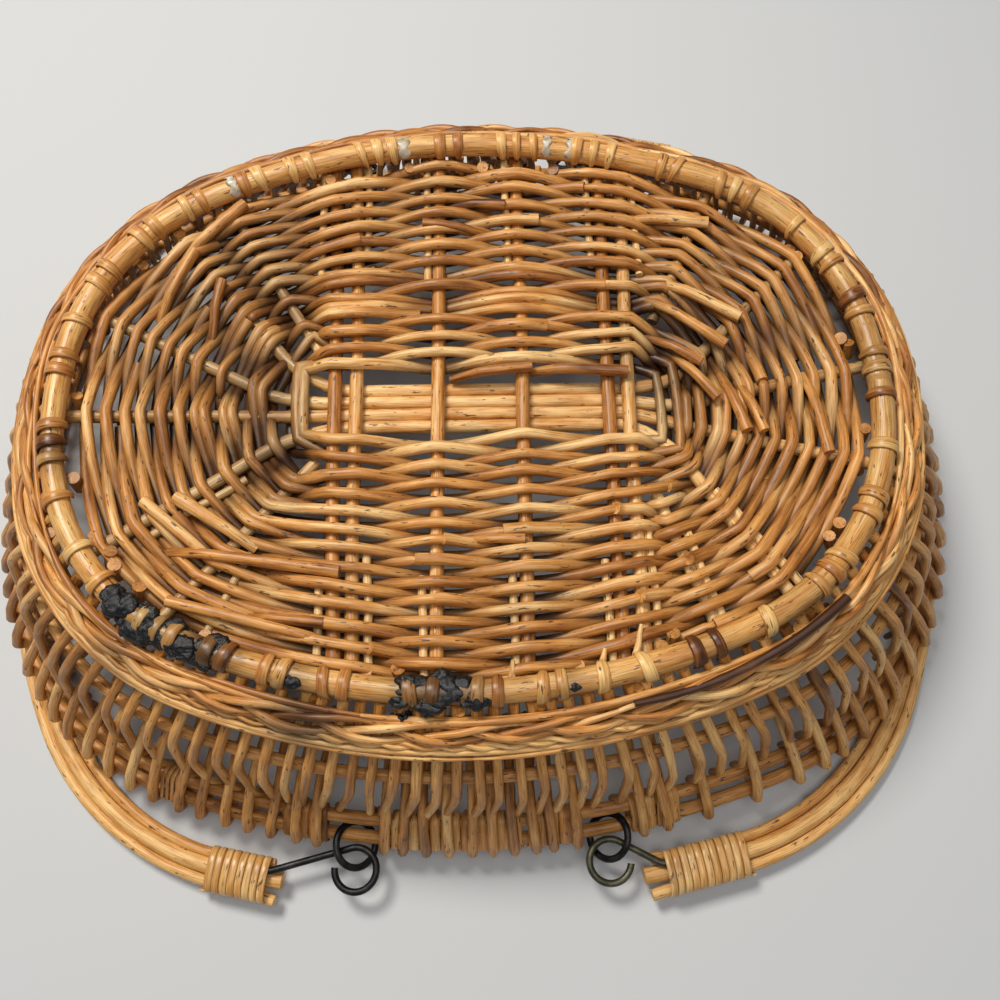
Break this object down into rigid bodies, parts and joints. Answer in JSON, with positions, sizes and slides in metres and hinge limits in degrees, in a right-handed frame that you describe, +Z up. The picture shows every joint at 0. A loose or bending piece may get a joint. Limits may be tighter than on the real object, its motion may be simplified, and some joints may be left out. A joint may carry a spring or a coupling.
{
  "type": "oval willow basket with two drop handles",
  "caption": "Oval openwork willow basket upside down on its rim, with a closely woven base, flared lattice sides and drop handles that swing on wire rings and eyes",
  "frame": {"origin": "centre of the footprint, at the surface that the upturned basket stands on", "axes": "+X along the length of the oval, towards the right handle; +Y across it, away from the viewer of the picture; +Z up, from the rim towards the upturned base"},
  "size_m": [0.4938, 0.4356, 0.1112],
  "materials": {
    "willow_hoop": "peeled willow, aged honey brown, satin",
    "willow_side": "peeled willow rods, tan, satin",
    "willow_weave": "woven peeled willow, honey brown, satin",
    "willow_skein": "split willow skein, brown, satin",
    "dark_wire": "blackened iron wire, worn",
    "olive_wire": "wire with worn olive grey paint"
  },
  "bodies": {
    "basket": {"base_hoop": "willow_hoop", "middle_ring": "willow_side", "rim_lower_rod": "willow_hoop", "rim_upper_rod": "willow_hoop", "outer_stakes": "willow_side", "inner_stakes": "willow_side", "wale_outer_rods": "willow_side", "wale_inner_rods": "willow_side", "stake_tongues": "willow_hoop", "base_cross_sticks": "willow_weave", "base_long_sticks": "willow_weave", "base_bye_sticks": "willow_weave", "base_weave": "willow_weave", "rim_wraps": "willow_skein"},
    "right_handle": {"right_handle_core_rod": "willow_hoop", "right_handle_outer_rod": "willow_hoop", "right_handle_inner_rod": "willow_hoop", "right_front_wire_eye": "olive_wire", "right_front_binding": "willow_skein", "right_back_wire_eye": "dark_wire", "right_back_binding": "willow_skein"},
    "right_front_link": {"right_front_rim_link": "dark_wire"},
    "right_back_link": {"right_back_rim_link": "dark_wire"},
    "left_handle": {"left_handle_core_rod": "willow_hoop", "left_handle_outer_rod": "willow_hoop", "left_handle_inner_rod": "willow_hoop", "left_front_wire_eye": "dark_wire", "left_front_binding": "willow_skein", "left_back_wire_eye": "dark_wire", "left_back_binding": "willow_skein"},
    "left_front_link": {"left_front_rim_link": "dark_wire"},
    "left_back_link": {"left_back_rim_link": "dark_wire"}
  },
  "joints": [
    {"name": "right_handle_swing", "type": "hinge", "parent": "basket", "child": "right_handle", "pos_m": [0.059, 0, 0.0163], "axis": [0, 1, 0], "range_deg": [0, 102]},
    {"name": "right_front_link_turn", "type": "hinge", "parent": "basket", "child": "right_front_link", "pos_m": [0.059, 0, 0.0163], "axis": [0, -1, 0], "range_deg": [0, 12]},
    {"name": "right_back_link_turn", "type": "hinge", "parent": "basket", "child": "right_back_link", "pos_m": [0.059, 0, 0.0163], "axis": [0, -1, 0], "range_deg": [0, 12]},
    {"name": "left_handle_swing", "type": "hinge", "parent": "basket", "child": "left_handle", "pos_m": [-0.059, 0, 0.0163], "axis": [0, -1, 0], "range_deg": [0, 102]},
    {"name": "left_front_link_turn", "type": "hinge", "parent": "basket", "child": "left_front_link", "pos_m": [-0.059, 0, 0.0163], "axis": [0, 1, 0], "range_deg": [0, 12]},
    {"name": "left_back_link_turn", "type": "hinge", "parent": "basket", "child": "left_back_link", "pos_m": [-0.059, 0, 0.0163], "axis": [0, 1, 0], "range_deg": [0, 12]}
  ]
}
